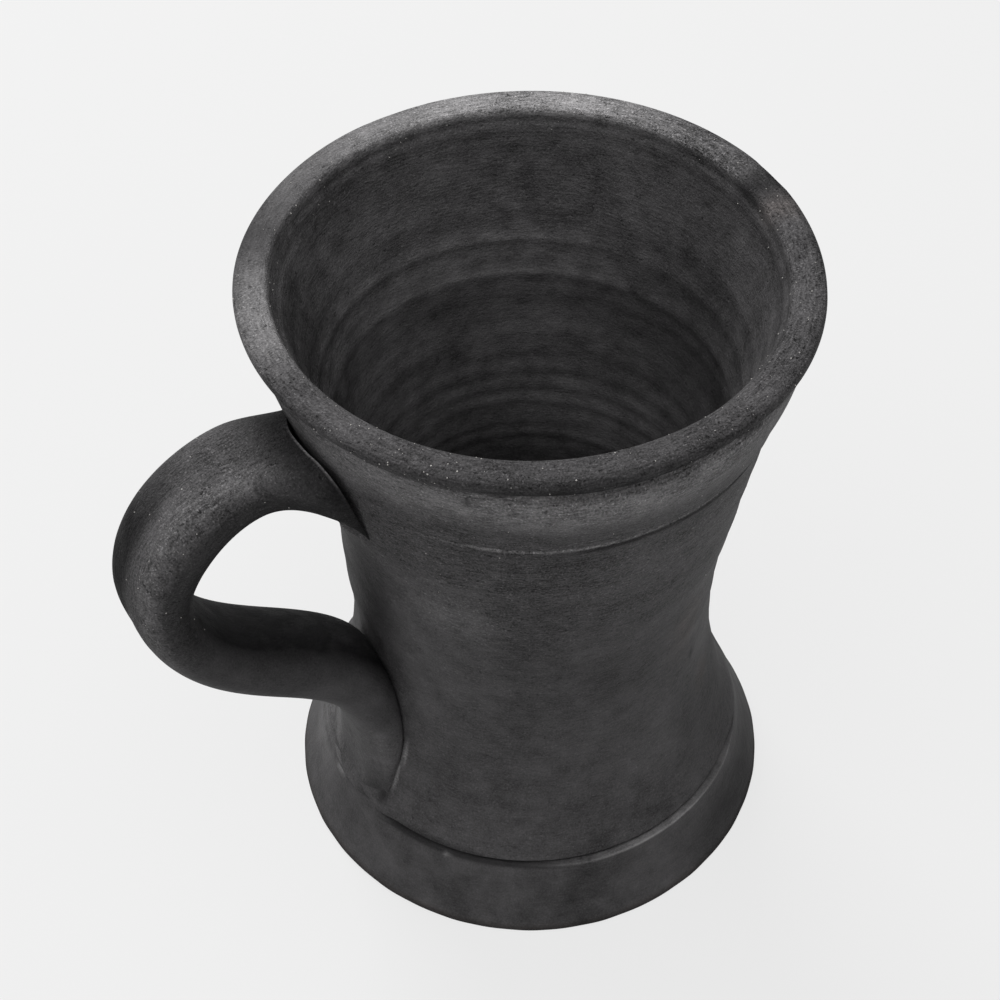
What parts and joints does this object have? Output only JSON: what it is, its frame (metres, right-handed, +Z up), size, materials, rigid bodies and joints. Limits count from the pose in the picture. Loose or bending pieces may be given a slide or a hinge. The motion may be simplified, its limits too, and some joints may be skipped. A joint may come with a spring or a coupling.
{
  "type": "drinking mug",
  "caption": "Waisted smoke-black clay mug with a flared mouth, a spreading foot ring and a single pulled strap handle.",
  "frame": {"origin": "centre of the flat base, on the axis of the cup, where the mug stands on a table", "axes": "+Z up along the axis of the cup, -X out through the middle of the handle, +Y across it"},
  "size_m": [0.128, 0.0982, 0.1306],
  "materials": {
    "smoked_clay": "unglazed, smoke-blackened, matte with a faint burnish",
    "joint_slip": "dried and fired slip, dull"
  },
  "bodies": {
    "root": {"thrown_cup": "smoked_clay", "foot_ring": "smoked_clay", "foot_slip": "joint_slip", "handle": "smoked_clay", "upper_handle_slip": "joint_slip", "lower_handle_slip": "joint_slip"}
  },
  "joints": []
}
